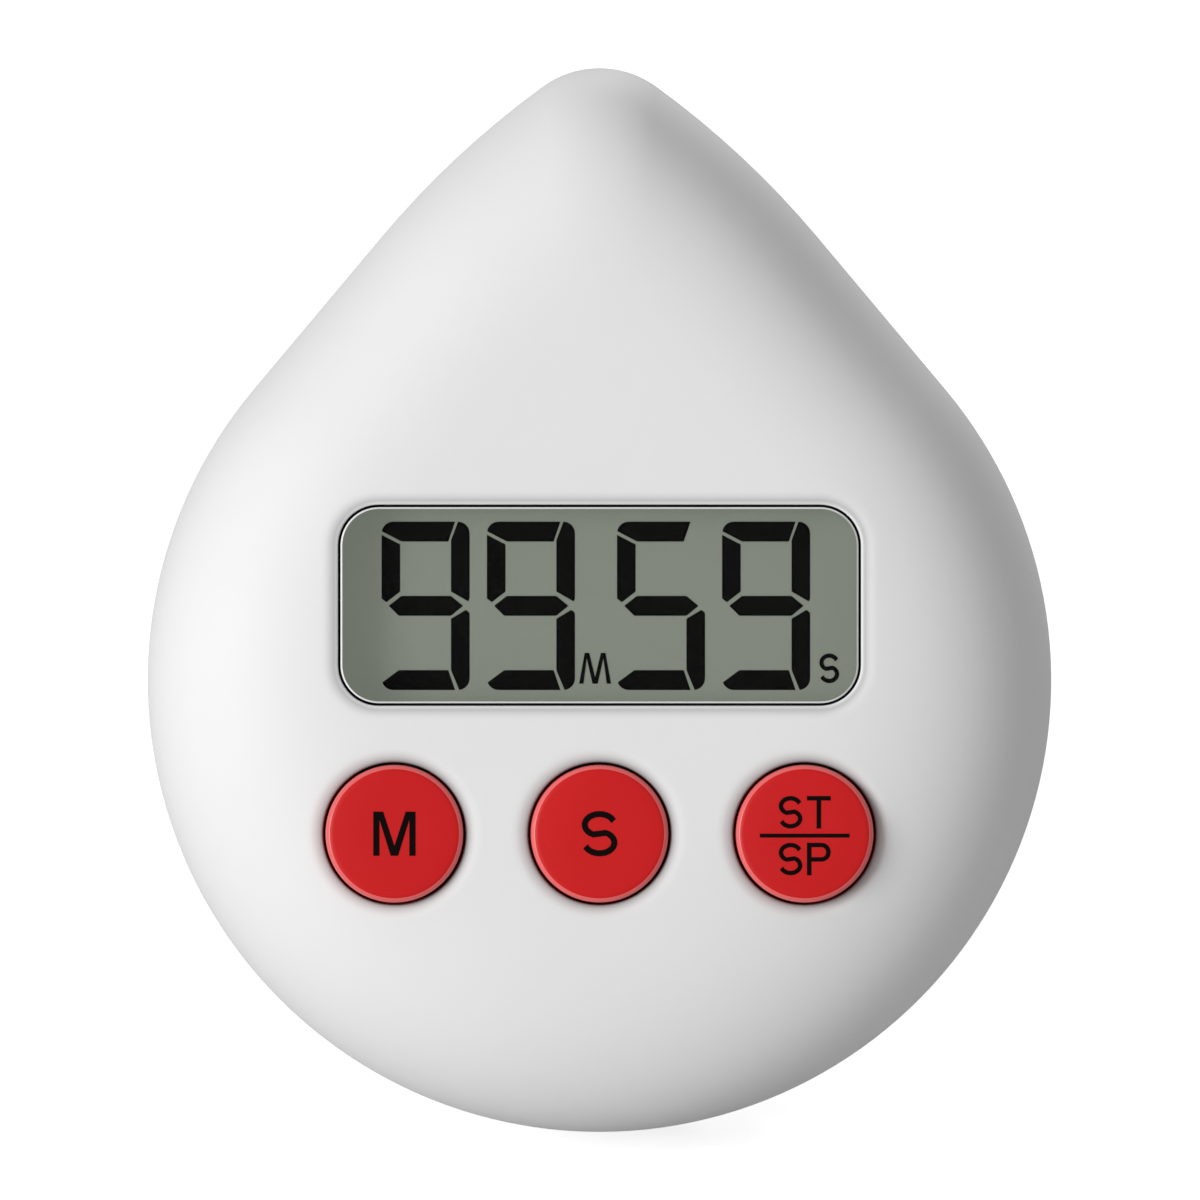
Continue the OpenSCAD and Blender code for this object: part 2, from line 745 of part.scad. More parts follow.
// Conical coil against the cell's flat end, ending in a tab through the bay's floor
module contact_spring() {
  turns = 4;
  steps = 12 * turns;
  spring_wire = 0.3;
  outer = 3.6;
  color([0.8, 0.8, 0.82]) {
    wire([for (i = [0:steps]) let (t = i / steps, a = 360 * turns * t, r = mix(outer, 2, t))
      [mix(-24.5 + spring_wire, cell_start - spring_wire - 0.1, t), cell_y + r * cos(a), cell_z + r * sin(a)]],
      spring_wire);
    block(-24.8, -24.4, bay_floor + 0.2, cell_y + 4.4, cell_z - 4.4, cell_z + 4.4);
    block(-24, -22.6, bay_floor - bay_wall - 0.8, bay_floor + 0.2, cell_z - 0.9, cell_z + 0.9);
    block(-24.8, -22.6, bay_floor + 0.1, bay_floor + 0.4, cell_z - 0.9, cell_z + 0.9);
  }
}

// Flat plate that the cell's tip touches, with its tab through the bay's floor
module contact_plate() {
  plate_x = cell_start + cell_length;
  color([0.8, 0.8, 0.82]) {
    block(plate_x, plate_x + 0.4, bay_floor + 0.2, cell_y + 4.4, cell_z - 4.4, cell_z + 4.4);
    block(plate_x, plate_x + 0.4, bay_floor - bay_wall - 0.8, bay_floor + 0.3, cell_z - 0.9, cell_z + 0.9);
  }
}

module battery_wires() {
  tab_y = bay_floor - bay_wall - 0.8;
  for (sx = [-1, 1]) color(sx > 0 ? [0.75, 0.1, 0.1] : [0.1, 0.1, 0.1])
    wire(bezier([sx * 23.1, tab_y - solder_gap, cell_z], [sx * 23.1, board_back + 0.6, cell_z],
      [sx * 18, board_back + 1.8, 38], [sx * 18, board_back + solder_gap, 38]), wire_radius);
}

module battery_door() {
  low = cell_z - bay_half_height + door_gap;
  plate_y = depth - door_depth;
  side_top = door_hinge[1] - 2;
  color([0.92, 0.92, 0.92]) difference() {
    union() {
      block(-bay_half + door_gap, bay_half - door_gap, plate_y, depth, low, side_top);
      block(-door_barrel_half, door_barrel_half, plate_y, depth, side_top - 0.1, door_hinge[1]);
      rod_x(door_hinge[0], door_hinge[1], door_barrel_radius, -door_barrel_half, door_barrel_half);
      rod_x(door_hinge[0], door_hinge[1], door_pin_radius, -door_pin_end, door_pin_end);
      // Latch tongue behind the lower edge
      block(-3, 3, plate_y - 2.4, plate_y + 0.1, low + 0.25, low + 1.1);
    }
    // Grip ribs, cut as shallow grooves
    for (k = [0:4]) block(-6, 6, depth - 0.3, depth + cut, low + 1.6 + 0.9 * k, low + 2 + 0.9 * k);
  }
}

// ---- magnets, screws and stand ----
module magnet(side) {
  color([0.6, 0.6, 0.62])
    rod_y(side * magnet_place[0], magnet_place[1], magnet_radius, depth - magnet_depth, depth);
}

module magnet_left() { magnet(-1); }
module magnet_right() { magnet(1); }

module back_screws() {
  head_top = depth - 1.4;
  head_bottom = depth - 3;
  color([0.7, 0.7, 0.72]) for (p = housing_screw_places) difference() {
    union() {
      rod_y(p[0], p[1], 0.75, 7, head_bottom);
      rod_y(p[0], p[1], 1.8, head_bottom, head_top);
    }
    cross_recess(p, head_top, 2.4, 0.6);
  }
}

// Folded, it hangs from its pins down the back; it is drawn swung open
module stand() {
  half = stand_width / 2;
  thin = stand_thickness / 2;
  y_hinge = stand_hinge[0];
  z_hinge = stand_hinge[1];
  color([0.9, 0.9, 0.9]) difference() {
    translate([0, y_hinge, z_hinge]) rotate([stand_open, 0, 0]) difference() {
      union() {
        rod_x(0, 0, stand_barrel_radius, -half, half);
        rod_x(0, 0, stand_pin_radius, -half - stand_pin_length, half + stand_pin_length);
        block(-half, half, -thin, thin, -stand_length, stand_heel);
        rod_x(0, -stand_length, thin, -half, half);
      }
      // Window that saves material, and grooves for a fingernail above the foot
      block(-half + 5, half - 5, -depth, depth, -stand_length * 0.62, -stand_length * 0.25);
      for (k = [0:2]) block(-half + 4, half - 4, thin - 0.3, thin + cut,
        -stand_length + 2 + 1.2 * k, -stand_length + 2.5 + 1.2 * k);
    }
    below_table();
  }
}

place() front_housing();
place() back_housing();
place() display_window();
place() window_tape();
place() lcd_front_polariser();
place() lcd_front_glass();
place() lcd_segments();
place() lcd_rear_glass();
place() lcd_rear_polariser();
place() lcd_holder();
place() zebra_strip();
place() circuit_board();
place() contact_pads();
place() chip_blob();
place() crystal();
place() capacitors();
place() resistors();
place() board_screws();
place() keypad_membrane();
place() button_minutes();
place() button_seconds();
place() button_start();
place() carbon_pill_minutes();
place() carbon_pill_seconds();
place() carbon_pill_start();
place() buzzer_disc();
place() buzzer_ceramic();
place() buzzer_wires();
place() battery_cell();
place() battery_sleeve();
place() contact_spring();
place() contact_plate();
place() battery_wires();
place() battery_door();
place() magnet_left();
place() magnet_right();
place() back_screws();
place() stand();
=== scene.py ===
"""Looks for the drop-shaped kitchen timer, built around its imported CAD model.

Pieces are laid out in the timer's face frame, in millimetres: x to the right, y into the timer
from the flat centre of its face, z up along the face. FACE_MATRIX turns that into the row's metres.
"""

import json
import math

import bmesh
import bpy
import numpy as np
from mathutils import Matrix, Vector, geometry

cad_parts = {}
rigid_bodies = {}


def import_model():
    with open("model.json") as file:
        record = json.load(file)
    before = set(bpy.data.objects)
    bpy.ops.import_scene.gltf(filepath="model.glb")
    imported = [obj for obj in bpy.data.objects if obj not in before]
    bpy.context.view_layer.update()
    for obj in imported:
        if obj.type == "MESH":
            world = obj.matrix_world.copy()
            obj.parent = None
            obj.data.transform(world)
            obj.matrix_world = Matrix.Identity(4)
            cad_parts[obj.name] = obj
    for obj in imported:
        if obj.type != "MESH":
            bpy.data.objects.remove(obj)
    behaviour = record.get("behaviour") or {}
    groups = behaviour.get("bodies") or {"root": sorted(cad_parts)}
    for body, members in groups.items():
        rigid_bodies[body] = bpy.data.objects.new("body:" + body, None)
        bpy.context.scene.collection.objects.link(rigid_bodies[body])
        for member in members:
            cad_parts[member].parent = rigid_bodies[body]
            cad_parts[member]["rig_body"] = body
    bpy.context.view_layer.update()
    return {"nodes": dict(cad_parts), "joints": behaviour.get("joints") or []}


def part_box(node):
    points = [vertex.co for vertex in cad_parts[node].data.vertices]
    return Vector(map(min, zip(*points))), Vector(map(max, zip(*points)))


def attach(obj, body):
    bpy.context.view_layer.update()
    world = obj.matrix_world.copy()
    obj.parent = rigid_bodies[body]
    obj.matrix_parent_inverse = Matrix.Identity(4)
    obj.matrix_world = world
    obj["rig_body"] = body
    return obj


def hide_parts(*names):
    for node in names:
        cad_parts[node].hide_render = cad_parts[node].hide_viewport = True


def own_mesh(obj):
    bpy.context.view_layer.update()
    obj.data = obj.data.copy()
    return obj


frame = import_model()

MM = 0.001
joints = {j["name"]: j for j in frame["joints"]}

# ---- face frame, from the joints ----
DOOR_HINGE = (23.6, 50.2)  # depth and height of the door's axis
ACROSS = Vector((1, 0, 0))
INWARD = Vector(joints["press_seconds"]["axis"]).normalized()
UPWARD = ACROSS.cross(INWARD)
ORIGIN = Vector(joints["open_door"]["pos_m"]) - (INWARD * DOOR_HINGE[0] + UPWARD * DOOR_HINGE[1]) * MM
FACE_TURN = Matrix((ACROSS, INWARD, UPWARD)).transposed().to_4x4()
FACE_MATRIX = Matrix.Translation(ORIGIN) @ FACE_TURN @ Matrix.Scale(MM, 4)

# ---- driving sizes of the timer, in millimetres; the drop and its dome follow part.scad ----
ROUND_R = 35.0
HEIGHT = 82.4
TIP_R = 7.5
TIP_ANGLE = math.radians(36)
SHOULDER_ANGLE = math.radians(50)
PART_Y = 14.0  # depth of the parting line between the two halves
DOME_POWER = 3.4
DOME_ROOT = 2.2
FLAT_SCALE = 13 / 35  # size of the flat centre, as a share of the whole outline
FLAT_RISE = 7.0  # how far the flat centre stands above the middle of the round part
WALL = 2.0
SEAM_R = 0.18  # rounding along the parting line
WINDOW = (40.3, 15.5, 3.15)  # width, height and corner radius of the opening
WINDOW_Z = 40.8
LENS = (39.9, 15.1, 2.95)
LENS_FACE = 0.45
SEAT_Y = 2.6  # the lens's flange rests on the housing at this depth
BUTTON_X = (-15.8, 0.0, 15.8)
BUTTON_Z = 23.2
BUTTON_R = 5.3
BUTTON_GAP = 0.2
BUTTON_FACE = -0.35  # the keys stand proud of the face's flat centre
FLANGE_Y = 3.7

# ---- how finely things are drawn ----
SHARP_ANGLE = math.radians(35)  # edges that turn more than this are drawn sharp
ROUND_STEPS = 96
CORNER_STEPS = 14
SIDE_STEPS = 26
END_STEPS = 10


# ---- mesh helpers ----
def add_mesh(name, verts, faces, body, materials):
    """New piece from face-frame points, riding on a body."""
    mesh = bpy.data.meshes.new(name)
    mesh.from_pydata([tuple(v) for v in verts], [], [tuple(f) for f in faces])
    mesh.transform(FACE_MATRIX)
    return add_piece(name, mesh, body, materials)


def add_piece(name, mesh, body, materials):
    """New piece from a finished mesh: outward faces, smooth shading and sharp edges by angle."""
    bm = bmesh.new()
    bm.from_mesh(mesh)
    bmesh.ops.recalc_face_normals(bm, faces=bm.faces)
    for face in bm.faces:
        face.smooth = True
    for edge in bm.edges:
        edge.smooth = len(edge.link_faces) == 2 and edge.calc_face_angle() < SHARP_ANGLE
    bm.to_mesh(mesh)
    bm.free()
    piece = bpy.data.objects.new(name, mesh)
    bpy.context.scene.collection.objects.link(piece)
    for material in materials:
        mesh.materials.append(material)
    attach(piece, body)
    return piece


def strip(first, second):
    """Quads between two loops of equal length."""
    return [(first[k - 1], first[k], second[k], second[k - 1]) for k in range(len(first))]


def slab(outline, y, thickness, start=0):
    """Points and faces of a flat (x, z) outline with its front at depth y, numbered from start."""
    front = list(range(start, start + len(outline)))
    back = [k + len(outline) for k in front]
    verts = [(x, y, z) for x, z in outline] + [(x, y + thickness, z) for x, z in outline]
    return verts, [front, back[::-1], *strip(front, back)]


def plate(name, outline, y, thickness, body, material):
    """Flat piece from an (x, z) outline, its front at depth y."""
    return add_mesh(name, *slab(outline, y, thickness), body, [material])


def rectangle(half_width, half_height, x, z):
    """Corners of a rectangle about (x, z)."""
    signs = ((-1, -1), (1, -1), (1, 1), (-1, 1))
    return [(x + side * half_width, z + end * half_height) for side, end in signs]


def circle_loop(x, z, radius):
    """Points of a circle about (x, z)."""
    turns = [math.tau * k / ROUND_STEPS for k in range(ROUND_STEPS)]
    return [(x + radius * math.cos(t), z + radius * math.sin(t)) for t in turns]


def lathe(name, profile, centre, body, materials, slots=None):
    """Turned piece: profile is radius and depth pairs, about an axis through centre (x, z)."""
    verts, faces, rings, owners = [], [], [], []
    for radius, y in profile:
        points = circle_loop(*centre, radius) if radius else [centre]
        rings.append(list(range(len(verts), len(verts) + len(points))))
        verts += [(x, y, z) for x, z in points]
    for r, (a, b) in enumerate(zip(rings, rings[1:])):
        for k in range(ROUND_STEPS):
            n = (k + 1) % ROUND_STEPS
            loop = [a[k % len(a)], a[n % len(a)], b[n % len(b)], b[k % len(b)]]
            faces.append(list(dict.fromkeys(loop)))
            owners.append(r)
    piece = add_mesh(name, verts, faces, body, materials)
    if slots:
        for polygon, owner in zip(piece.data.polygons, owners):
            polygon.material_index = slots[owner]
    return piece


def rounded_loop(width, height, radius, z):
    """Points of a rounded rectangle about (0, z), with points along its straight sides too."""
    points = []
    half_w, half_h = width / 2 - radius, height / 2 - radius
    corners = [(half_w, half_h, 0), (-half_w, half_h, 90), (-half_w, -half_h, 180), (half_w, -half_h, 270)]
    for k, (cx, cz, start) in enumerate(corners):
        turns = [math.radians(start + 90 * i / CORNER_STEPS) for i in range(CORNER_STEPS + 1)]
        points += [(cx + radius * math.cos(t), z + cz + radius * math.sin(t)) for t in turns]
        next_x, next_z, _ = corners[(k + 1) % 4]
        first = points[-1]
        last = (next_x + radius * math.cos(turns[-1]), z + next_z + radius * math.sin(turns[-1]))
        steps = SIDE_STEPS if k % 2 == 0 else END_STEPS
        points += [
            (first[0] + (last[0] - first[0]) * i / steps, first[1] + (last[1] - first[1]) * i / steps)
            for i in range(1, steps)
        ]
    return points


MERGE_DISTANCE = 2e-6  # metres
FLAT_ANGLE = math.radians(0.6)  # neighbouring facets that turn less than this are joined


def refine(node, material, bevel):
    """Cleaned copy of a CAD node, with its sharp edges bevelled, in the node's place."""
    bm = bmesh.new()
    bm.from_mesh(frame["nodes"][node].data)
    bmesh.ops.remove_doubles(bm, verts=bm.verts, dist=MERGE_DISTANCE)
    bmesh.ops.dissolve_limit(bm, angle_limit=FLAT_ANGLE, verts=bm.verts, edges=bm.edges)
    sharp = [e for e in bm.edges if len(e.link_faces) == 2 and e.calc_face_angle() > SHARP_ANGLE]
    bmesh.ops.bevel(
        bm, geom=sharp, offset=bevel * MM, segments=2, profile=0.5, affect="EDGES", clamp_overlap=True)
    mesh = bpy.data.meshes.new(node + "_fine")
    bm.to_mesh(mesh)
    bm.free()
    piece = add_piece(node + "_fine", mesh, frame["nodes"][node]["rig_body"], [material])
    even = piece.modifiers.new("even_flats", "WEIGHTED_NORMAL")
    even.keep_sharp = True
    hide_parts(node)


# ---- the drop shape ----
TIP_END = (TIP_R * math.sin(TIP_ANGLE), HEIGHT - TIP_R * (1 - math.cos(TIP_ANGLE)))
SHOULDER_R = (
    ROUND_R * (1 + math.cos(SHOULDER_ANGLE))
    - TIP_END[0] * math.sin(SHOULDER_ANGLE) - TIP_END[1] * math.cos(SHOULDER_ANGLE)
) / (1 - math.cos(SHOULDER_ANGLE - TIP_ANGLE))


def outline_point(angle):
    """Point of the drop's right half whose outward normal is at this angle from straight up."""
    sin, cos = math.sin(angle), math.cos(angle)
    if angle <= TIP_ANGLE:
        return TIP_R * sin, HEIGHT - TIP_R * (1 - cos)
    if angle <= SHOULDER_ANGLE:
        return (TIP_END[0] + SHOULDER_R * (sin - math.sin(TIP_ANGLE)),
                TIP_END[1] + SHOULDER_R * (cos - math.cos(TIP_ANGLE)))
    return ROUND_R * sin, ROUND_R * (1 + cos)


TIP_STEPS = 14
SHOULDER_STEPS = 8
FLANK_STEPS = 12
BOWL_STEPS = 66


def drop_loop(inset):
    """Closed loop of the drop outline, moved inwards by inset, as an array of (x, z)."""
    right = []
    for start, end, steps in ((0, TIP_ANGLE, TIP_STEPS), (TIP_ANGLE, SHOULDER_ANGLE, SHOULDER_STEPS)):
        for k in range(steps):
            angle = start + (end - start) * k / steps
            right.append((*outline_point(angle), angle))
    flank_top = outline_point(SHOULDER_ANGLE)
    flank_end = (ROUND_R * math.sin(SHOULDER_ANGLE), ROUND_R * (1 + math.cos(SHOULDER_ANGLE)))
    for k in range(FLANK_STEPS):
        t = k / FLANK_STEPS
        right.append((flank_top[0] + (flank_end[0] - flank_top[0]) * t,
                      flank_top[1] + (flank_end[1] - flank_top[1]) * t, SHOULDER_ANGLE))
    for k in range(BOWL_STEPS + 1):
        angle = SHOULDER_ANGLE + (math.pi - SHOULDER_ANGLE) * k / BOWL_STEPS
        right.append((ROUND_R * math.sin(angle), ROUND_R * (1 + math.cos(angle)), angle))
    inner = [(x - inset * math.sin(a), z - inset * math.cos(a)) for x, z, a in right]
    return np.array(inner + [(-x, z) for x, z in inner[-2:0:-1]])


# How far the outline reaches from the middle of its round part, in each direction
NORMAL_ANGLES = np.radians(np.arange(0, 360, 0.5))
NORMALS = np.stack([np.sin(NORMAL_ANGLES), np.cos(NORMAL_ANGLES)])
SUPPORT = ((drop_loop(0) - (0, ROUND_R)) @ NORMALS).max(axis=0)
LEVEL_STEPS = 26  # halvings that find a ring


def grow_at(u):
    """Scale of the dome's ring at u, from the flat centre (0) to the parting line (1)."""
    return 1 - (1 - u) * (1 - FLAT_SCALE)


def dome_level(points, inset):
    """Which ring of the dome each (x, z) point is on, as u from 0 to 1."""
    low, high = np.zeros(len(points)), np.ones(len(points))
    for _ in range(LEVEL_STEPS):
        u = (low + high) / 2
        grow = grow_at(u)[:, None]
        centre = np.stack([u * 0, ROUND_R + FLAT_RISE * (1 - u)], axis=1)
        outside = (((points - centre) / grow) @ NORMALS / (SUPPORT - inset)).max(axis=1) > 1
        low, high = np.where(outside, u, low), np.where(outside, high, u)
    return high


def dome_y(u, depth):
    """Depth of the dome's ring at u, for a dome that rises depth over the parting line."""
    return PART_Y - depth + depth * (1 - (1 - u ** DOME_POWER) ** (1 / DOME_ROOT))


def ring_at(u, inset):
    """The dome's ring at u, seen from the front."""
    loop = drop_loop(inset) - (0, ROUND_R)
    return loop * grow_at(u) + (0, ROUND_R + FLAT_RISE * (1 - u))


def hole_distance(points):
    """Distance of each (x, z) point from the nearest opening's edge, negative inside it."""
    width, height, radius = WINDOW
    side = np.abs(points - (0, WINDOW_Z)) - (width / 2 - radius, height / 2 - radius)
    beyond = np.hypot(*np.maximum(side, 0).T) + np.minimum(side.max(axis=1), 0) - radius
    bores = [np.hypot(points[:, 0] - x, points[:, 1] - BUTTON_Z) - BUTTON_R - BUTTON_GAP for x in BUTTON_X]
    return np.minimum.reduce([beyond, *bores])


DISH_DEPTH = 0.2
DISH_WIDTH = 1.1
LIP_R = 0.2
# Distances of the loops of points round each opening, close together on the lip
HOLE_OFFSETS = (0, 0.03, 0.07, 0.12, 0.2, 0.34, 0.52, 0.75, 1.0, 1.3, 1.6)


def dish(distance):
    """Extra depth of the moulded dish and rounded lip round each opening."""
    t = np.clip(1 - distance / DISH_WIDTH, 0, 1)
    lip = np.clip(1 - distance / LIP_R, 0, 1)
    return DISH_DEPTH * t * t * (3 - 2 * t) + LIP_R * (1 - np.sqrt(1 - lip * lip))


SHEET_EDGE = 0.85  # ring where the face sheet meets the flank's rings
ROW_PITCH = 0.866  # of a grid of even triangles, as a share of its spacing
JOIN_DISTANCE = 1e-6
# Spacing of the face sheet's points and number of flank rings: outer skin, then the plainer inner one
OUTER_MESH = (1.05, 22)
INNER_MESH = (2.4, 8)


def opening_loops(offset):
    """Loops of points at a distance round the window and the three bores."""
    width, height, radius = WINDOW
    window = rounded_loop(width + 2 * offset, height + 2 * offset, radius + offset, WINDOW_Z)
    return [window] + [circle_loop(x, BUTTON_Z, BUTTON_R + BUTTON_GAP + offset) for x in BUTTON_X]


def filler_points(inset, clearance, spacing):
    """Evenly spread (x, z) points inside the SHEET_EDGE ring and clear of the openings."""
    rows, columns = int(HEIGHT / spacing / ROW_PITCH), int(2 * ROUND_R / spacing)
    points = np.array([
        ((c + 0.5 * (r % 2)) * spacing - ROUND_R, r * spacing * ROW_PITCH)
        for r in range(rows) for c in range(columns)
    ])
    keep = dome_level(points, inset) < SHEET_EDGE - 0.5 * spacing / ROUND_R
    keep &= hole_distance(points) > clearance + 0.5 * spacing
    return [tuple(p) for p in points[keep]]


def face_sheet(inset, depth, offsets, spacing):
    """Triangulated face inside the SHEET_EDGE ring: verts, faces, rim loop and hole loops."""
    outlines = [[tuple(p) for p in ring_at(SHEET_EDGE, inset)]]
    for offset in offsets:
        outlines += opening_loops(offset)
    points, loops = [], []
    for outline in outlines:
        loops.append(list(range(len(points), len(points) + len(outline))))
        points += outline
    points += filler_points(inset, offsets[-1], spacing)
    edges = [(loop[k - 1], loop[k]) for loop in loops for k in range(len(loop))]
    vectors = [Vector(p) for p in points]
    flat, _, triangles, *_ = geometry.delaunay_2d_cdt(vectors, edges, [], 1, JOIN_DISTANCE)
    flat = np.array([tuple(p) for p in flat])
    centres = np.array([flat[list(t)].mean(axis=0) for t in triangles])
    triangles = [t for t, gap in zip(triangles, hole_distance(centres)) if gap > 0]
    y = dome_y(dome_level(flat, inset), depth)
    if inset == 0:
        y = y + dish(np.maximum(hole_distance(flat), 0))
    rim, *holes = loops[:2 + len(BUTTON_X)]
    return [(x, h, z) for (x, z), h in zip(flat, y)], triangles, rim, holes


def skin(inset, offsets, spacing, rings, verts, faces):
    """Adds the shell's outer or inner skin; gives the loops at its rim and its openings."""
    depth = PART_Y - inset
    start = len(verts)
    sheet, triangles, rim, openings = face_sheet(inset, depth, offsets, spacing)
    verts += sheet
    faces += [[start + i for i in t] for t in triangles]
    previous = [start + i for i in rim]
    slope = (1 - SHEET_EDGE ** DOME_POWER) ** (1 / DOME_ROOT)
    for k in range(1, rings + 1):
        w = slope * (1 - k / rings)
        u = (1 - w ** DOME_ROOT) ** (1 / DOME_POWER)
        y = PART_Y - depth + depth * (1 - w)
        if inset == 0 and k == rings:
            y -= SEAM_R
        ring = list(range(len(verts), len(verts) + len(rim)))
        verts += [(x, y, z) for x, z in ring_at(u, inset)]
        faces += strip(previous, ring)
        previous = ring
    return previous, [[start + i for i in loop] for loop in openings]


PAINTED_SHADE_SHARE = 0.85  # how much painted shade darkens the colour at the very edge of an opening
PAINTED_SHADE_FADE = 2.2


def paint_shade_round_openings(shell, verts):
    """Stores how much painted shade darkens the soft surround of the openings, at each point of the shell.
    """
    gap = hole_distance(np.array([(x, z) for x, _, z in verts]))
    shade = np.clip(1 - gap / DISH_WIDTH, 0, 1) ** PAINTED_SHADE_FADE * PAINTED_SHADE_SHARE
    by_window = np.array([z for _, _, z in verts]) > (WINDOW_Z + BUTTON_Z) / 2
    # Near the window the painted shade stops short of the lip, which keeps its plain white.
    shade *= np.where(by_window, np.clip(gap / LIP_R - 0.5, 0, 1), 1)
    painted_shade = shell.data.attributes.new("painted_shade", "FLOAT", "POINT")
    painted_shade.data.foreach_set("value", shade.astype(np.float32))


def front_shell(material):
    """The moulded front half: dished face, flank, parting rim, inner skin and hole walls."""
    verts, faces = [], []
    outer_rim, outer_holes = skin(0, HOLE_OFFSETS, *OUTER_MESH, verts, faces)
    inner_rim, inner_holes = skin(WALL, (0,), *INNER_MESH, verts, faces)
    seam = list(range(len(verts), len(verts) + len(outer_rim)))
    verts += [(x, PART_Y, z) for x, z in ring_at(1, SEAM_R)]
    faces += strip(outer_rim, seam) + strip(seam, inner_rim)
    for outer, inner in zip(outer_holes, inner_holes):
        faces += strip(outer, inner)
    shell = add_mesh("front_shell", verts, faces, "housing", [material])
    # painted shade round the openings, stored on the shell's points
    paint_shade_round_openings(shell, verts)
    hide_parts("front_housing")


# ---- materials ----
RAMP = (0.3, 0.7)  # noise values where the darker and the lighter shade are reached
MOTTLE_SCALE = 60
SKIN_SCALE = 1800
STREAK_SCALE = 350
BRUSH_SCALE = 2500
FILM_SCALE = 90


def shader(name, roughness, **sockets):
    """Material with a principled shader, its uniform values set on its own sockets."""
    material = bpy.data.materials.new(name)
    material.use_nodes = True
    principled = material.node_tree.nodes["Principled BSDF"]
    principled.inputs["Roughness"].default_value = roughness
    for socket, value in sockets.items():
        principled.inputs[socket.replace("_", " ")].default_value = value
    return material


def noise_node(material, scale, detail=3.0, stretch=(1, 1, 1)):
    """Noise texture in the piece's own coordinates, in cycles per metre along each axis."""
    tree = material.node_tree
    place = tree.nodes.new("ShaderNodeTexCoord")
    mapping = tree.nodes.new("ShaderNodeMapping")
    mapping.inputs["Scale"].default_value = stretch
    noise = tree.nodes.new("ShaderNodeTexNoise")
    noise.inputs["Scale"].default_value = scale
    noise.inputs["Detail"].default_value = detail
    tree.links.new(place.outputs["Object"], mapping.inputs["Vector"])
    tree.links.new(mapping.outputs["Vector"], noise.inputs["Vector"])
    return noise


def mottle(material, dark, light, scale, stretch=(1, 1, 1)):
    """Base colour drifting between two close shades."""
    tree = material.node_tree
    ramp = tree.nodes.new("ShaderNodeValToRGB")
    for element, place, shade in zip(ramp.color_ramp.elements, RAMP, (dark, light)):
        element.position = place
        element.color = (*shade, 1)
    tree.links.new(noise_node(material, scale, stretch=stretch).outputs["Fac"], ramp.inputs["Fac"])
    tree.links.new(ramp.outputs["Color"], tree.nodes["Principled BSDF"].inputs["Base Color"])
    return material


def grain(material, scale, strength, depth_mm=0.02, stretch=(1, 1, 1)):
    """Fine moulded or brushed relief."""
    tree = material.node_tree
    bump = tree.nodes.new("ShaderNodeBump")
    bump.inputs["Strength"].default_value = strength
    bump.inputs["Distance"].default_value = depth_mm * MM
    noise = noise_node(material, scale, 2.0, stretch)
    tree.links.new(noise.outputs["Fac"], bump.inputs["Height"])
    tree.links.new(bump.outputs["Normal"], tree.nodes["Principled BSDF"].inputs["Normal"])
    return material


def shades(colour, spread):
    """A darker and a lighter neighbour of a colour."""
    return [tuple(min(c * k, 1) for c in colour) for k in (1 - spread, 1 + spread)]


def moulded(name, colour, roughness, spread=0.02, relief=0.12, **sockets):
    """Moulded plastic or rubber: faint colour drift and a fine skin."""
    material = mottle(shader(name, roughness, **sockets), *shades(colour, spread), MOTTLE_SCALE)
    return grain(material, SKIN_SCALE, relief)


def paint_shade_near_openings(material):
    """Darkens the base colour with painted shade, by the amount stored on the mesh's points, which rises
    towards an opening.
    """
    tree = material.node_tree
    principled = tree.nodes["Principled BSDF"]
    plain = principled.inputs["Base Color"].links[0].from_socket
    near = tree.nodes.new("ShaderNodeAttribute")
    near.attribute_name = "painted_shade"
    mix = tree.nodes.new("ShaderNodeMix")
    mix.data_type = "RGBA"
    mix.inputs["B"].default_value = (*PAINTED_SHADE_COLOUR, 1)
    tree.links.new(near.outputs["Fac"], mix.inputs["Factor"])
    tree.links.new(plain, mix.inputs["A"])
    tree.links.new(mix.outputs["Result"], principled.inputs["Base Color"])
    return material


def metal(name, colour, roughness, spread=0.08, stretch=(1, 1, 1)):
    """Metal with faint streaks."""
    plain = shader(name, roughness, Metallic=1.0)
    material = mottle(plain, *shades(colour, spread), STREAK_SCALE, stretch)
    return grain(material, BRUSH_SCALE, 0.15, 0.01, stretch)


def see_through(name, tint, roughness, ior):
    """Clear sheet that shows what is behind it, under a faint reflection."""
    material = bpy.data.materials.new(name)
    material.use_nodes = True
    tree = material.node_tree
    tree.nodes.remove(tree.nodes["Principled BSDF"])
    clear = tree.nodes.new("ShaderNodeBsdfTransparent")
    gloss = tree.nodes.new("ShaderNodeBsdfGlossy")
    gloss.inputs["Roughness"].default_value = roughness
    fresnel = tree.nodes.new("ShaderNodeFresnel")
    fresnel.inputs["IOR"].default_value = ior
    mix = tree.nodes.new("ShaderNodeMixShader")
    ramp = tree.nodes.new("ShaderNodeValToRGB")
    for element, shade in zip(ramp.color_ramp.elements, shades(tint, 0.006)):
        element.color = (*shade, 1)
    tree.links.new(noise_node(material, FILM_SCALE).outputs["Fac"], ramp.inputs["Fac"])
    tree.links.new(ramp.outputs["Color"], clear.inputs["Color"])
    tree.links.new(fresnel.outputs["Fac"], mix.inputs["Fac"])
    tree.links.new(clear.outputs["BSDF"], mix.inputs[1])
    tree.links.new(gloss.outputs["BSDF"], mix.inputs[2])
    tree.links.new(mix.outputs["Shader"], tree.nodes["Material Output"].inputs["Surface"])
    return material


WHITE_SHELL = {"colour": (0.8, 0.8, 0.8), "roughness": 0.6, "spread": 0.008, "relief": 0.05, "IOR": 1.46}
# colour of the painted shade round the openings
PAINTED_SHADE_COLOUR = (0.16, 0.16, 0.16)
LCD_GREY = (0.115, 0.125, 0.110)
